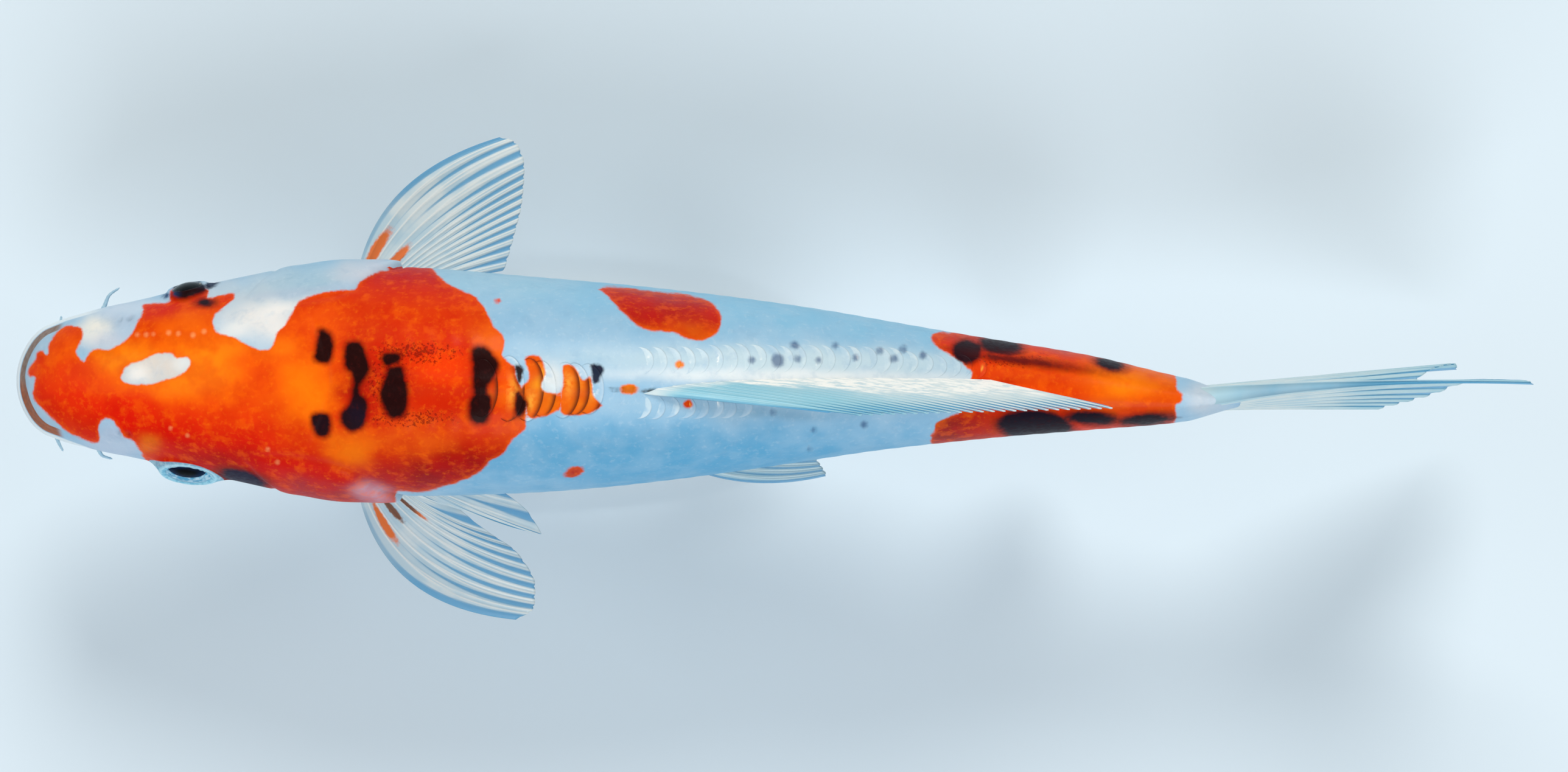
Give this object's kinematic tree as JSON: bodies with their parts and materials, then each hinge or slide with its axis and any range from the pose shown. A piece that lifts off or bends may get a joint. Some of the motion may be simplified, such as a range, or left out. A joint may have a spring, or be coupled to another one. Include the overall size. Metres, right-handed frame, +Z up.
{
  "type": "koi carp model",
  "caption": "Life-size still model of a scaleless-sided koi carp swimming, white with orange-red and black markings, on a plain oval stand with short rods.",
  "frame": {"origin": "centre of the underside of the display stand's oval base, below the fish's belly", "axes": "+X from the snout to the tail, +Y to the fish's right side, +Z up"},
  "size_m": [0.6129, 0.2039, 0.2031],
  "materials": {
    "skin": "wet, smooth skin, white with orange-red and black markings",
    "fin": "thin, ribbed, slightly clear",
    "eye": "glossy cornea over a pale gold iris and a black pupil",
    "scale": "pearly",
    "stand_base": "fine satin",
    "stand_rod": "brushed"
  },
  "bodies": {
    "root": {"head": "skin", "lip_upper": "skin", "jaw_lower": "skin", "gill_cover_right": "skin", "gill_cover_left": "skin", "trunk_front": "skin", "trunk_rear": "skin", "tail_stem": "skin", "eye_right": "eye", "eye_left": "eye", "barbel_front_right": "skin", "barbel_front_left": "skin", "barbel_rear_right": "skin", "barbel_rear_left": "skin", "fin_dorsal": "fin", "fin_anal": "fin", "fin_pectoral_right": "fin", "fin_pectoral_left": "fin", "fin_pelvic_right": "fin", "fin_pelvic_left": "fin", "fin_caudal_upper": "fin", "fin_caudal_lower": "fin", "stand_base": "stand_base", "stand_rod_front": "stand_rod", "stand_rod_rear": "stand_rod"}
  },
  "joints": []
}
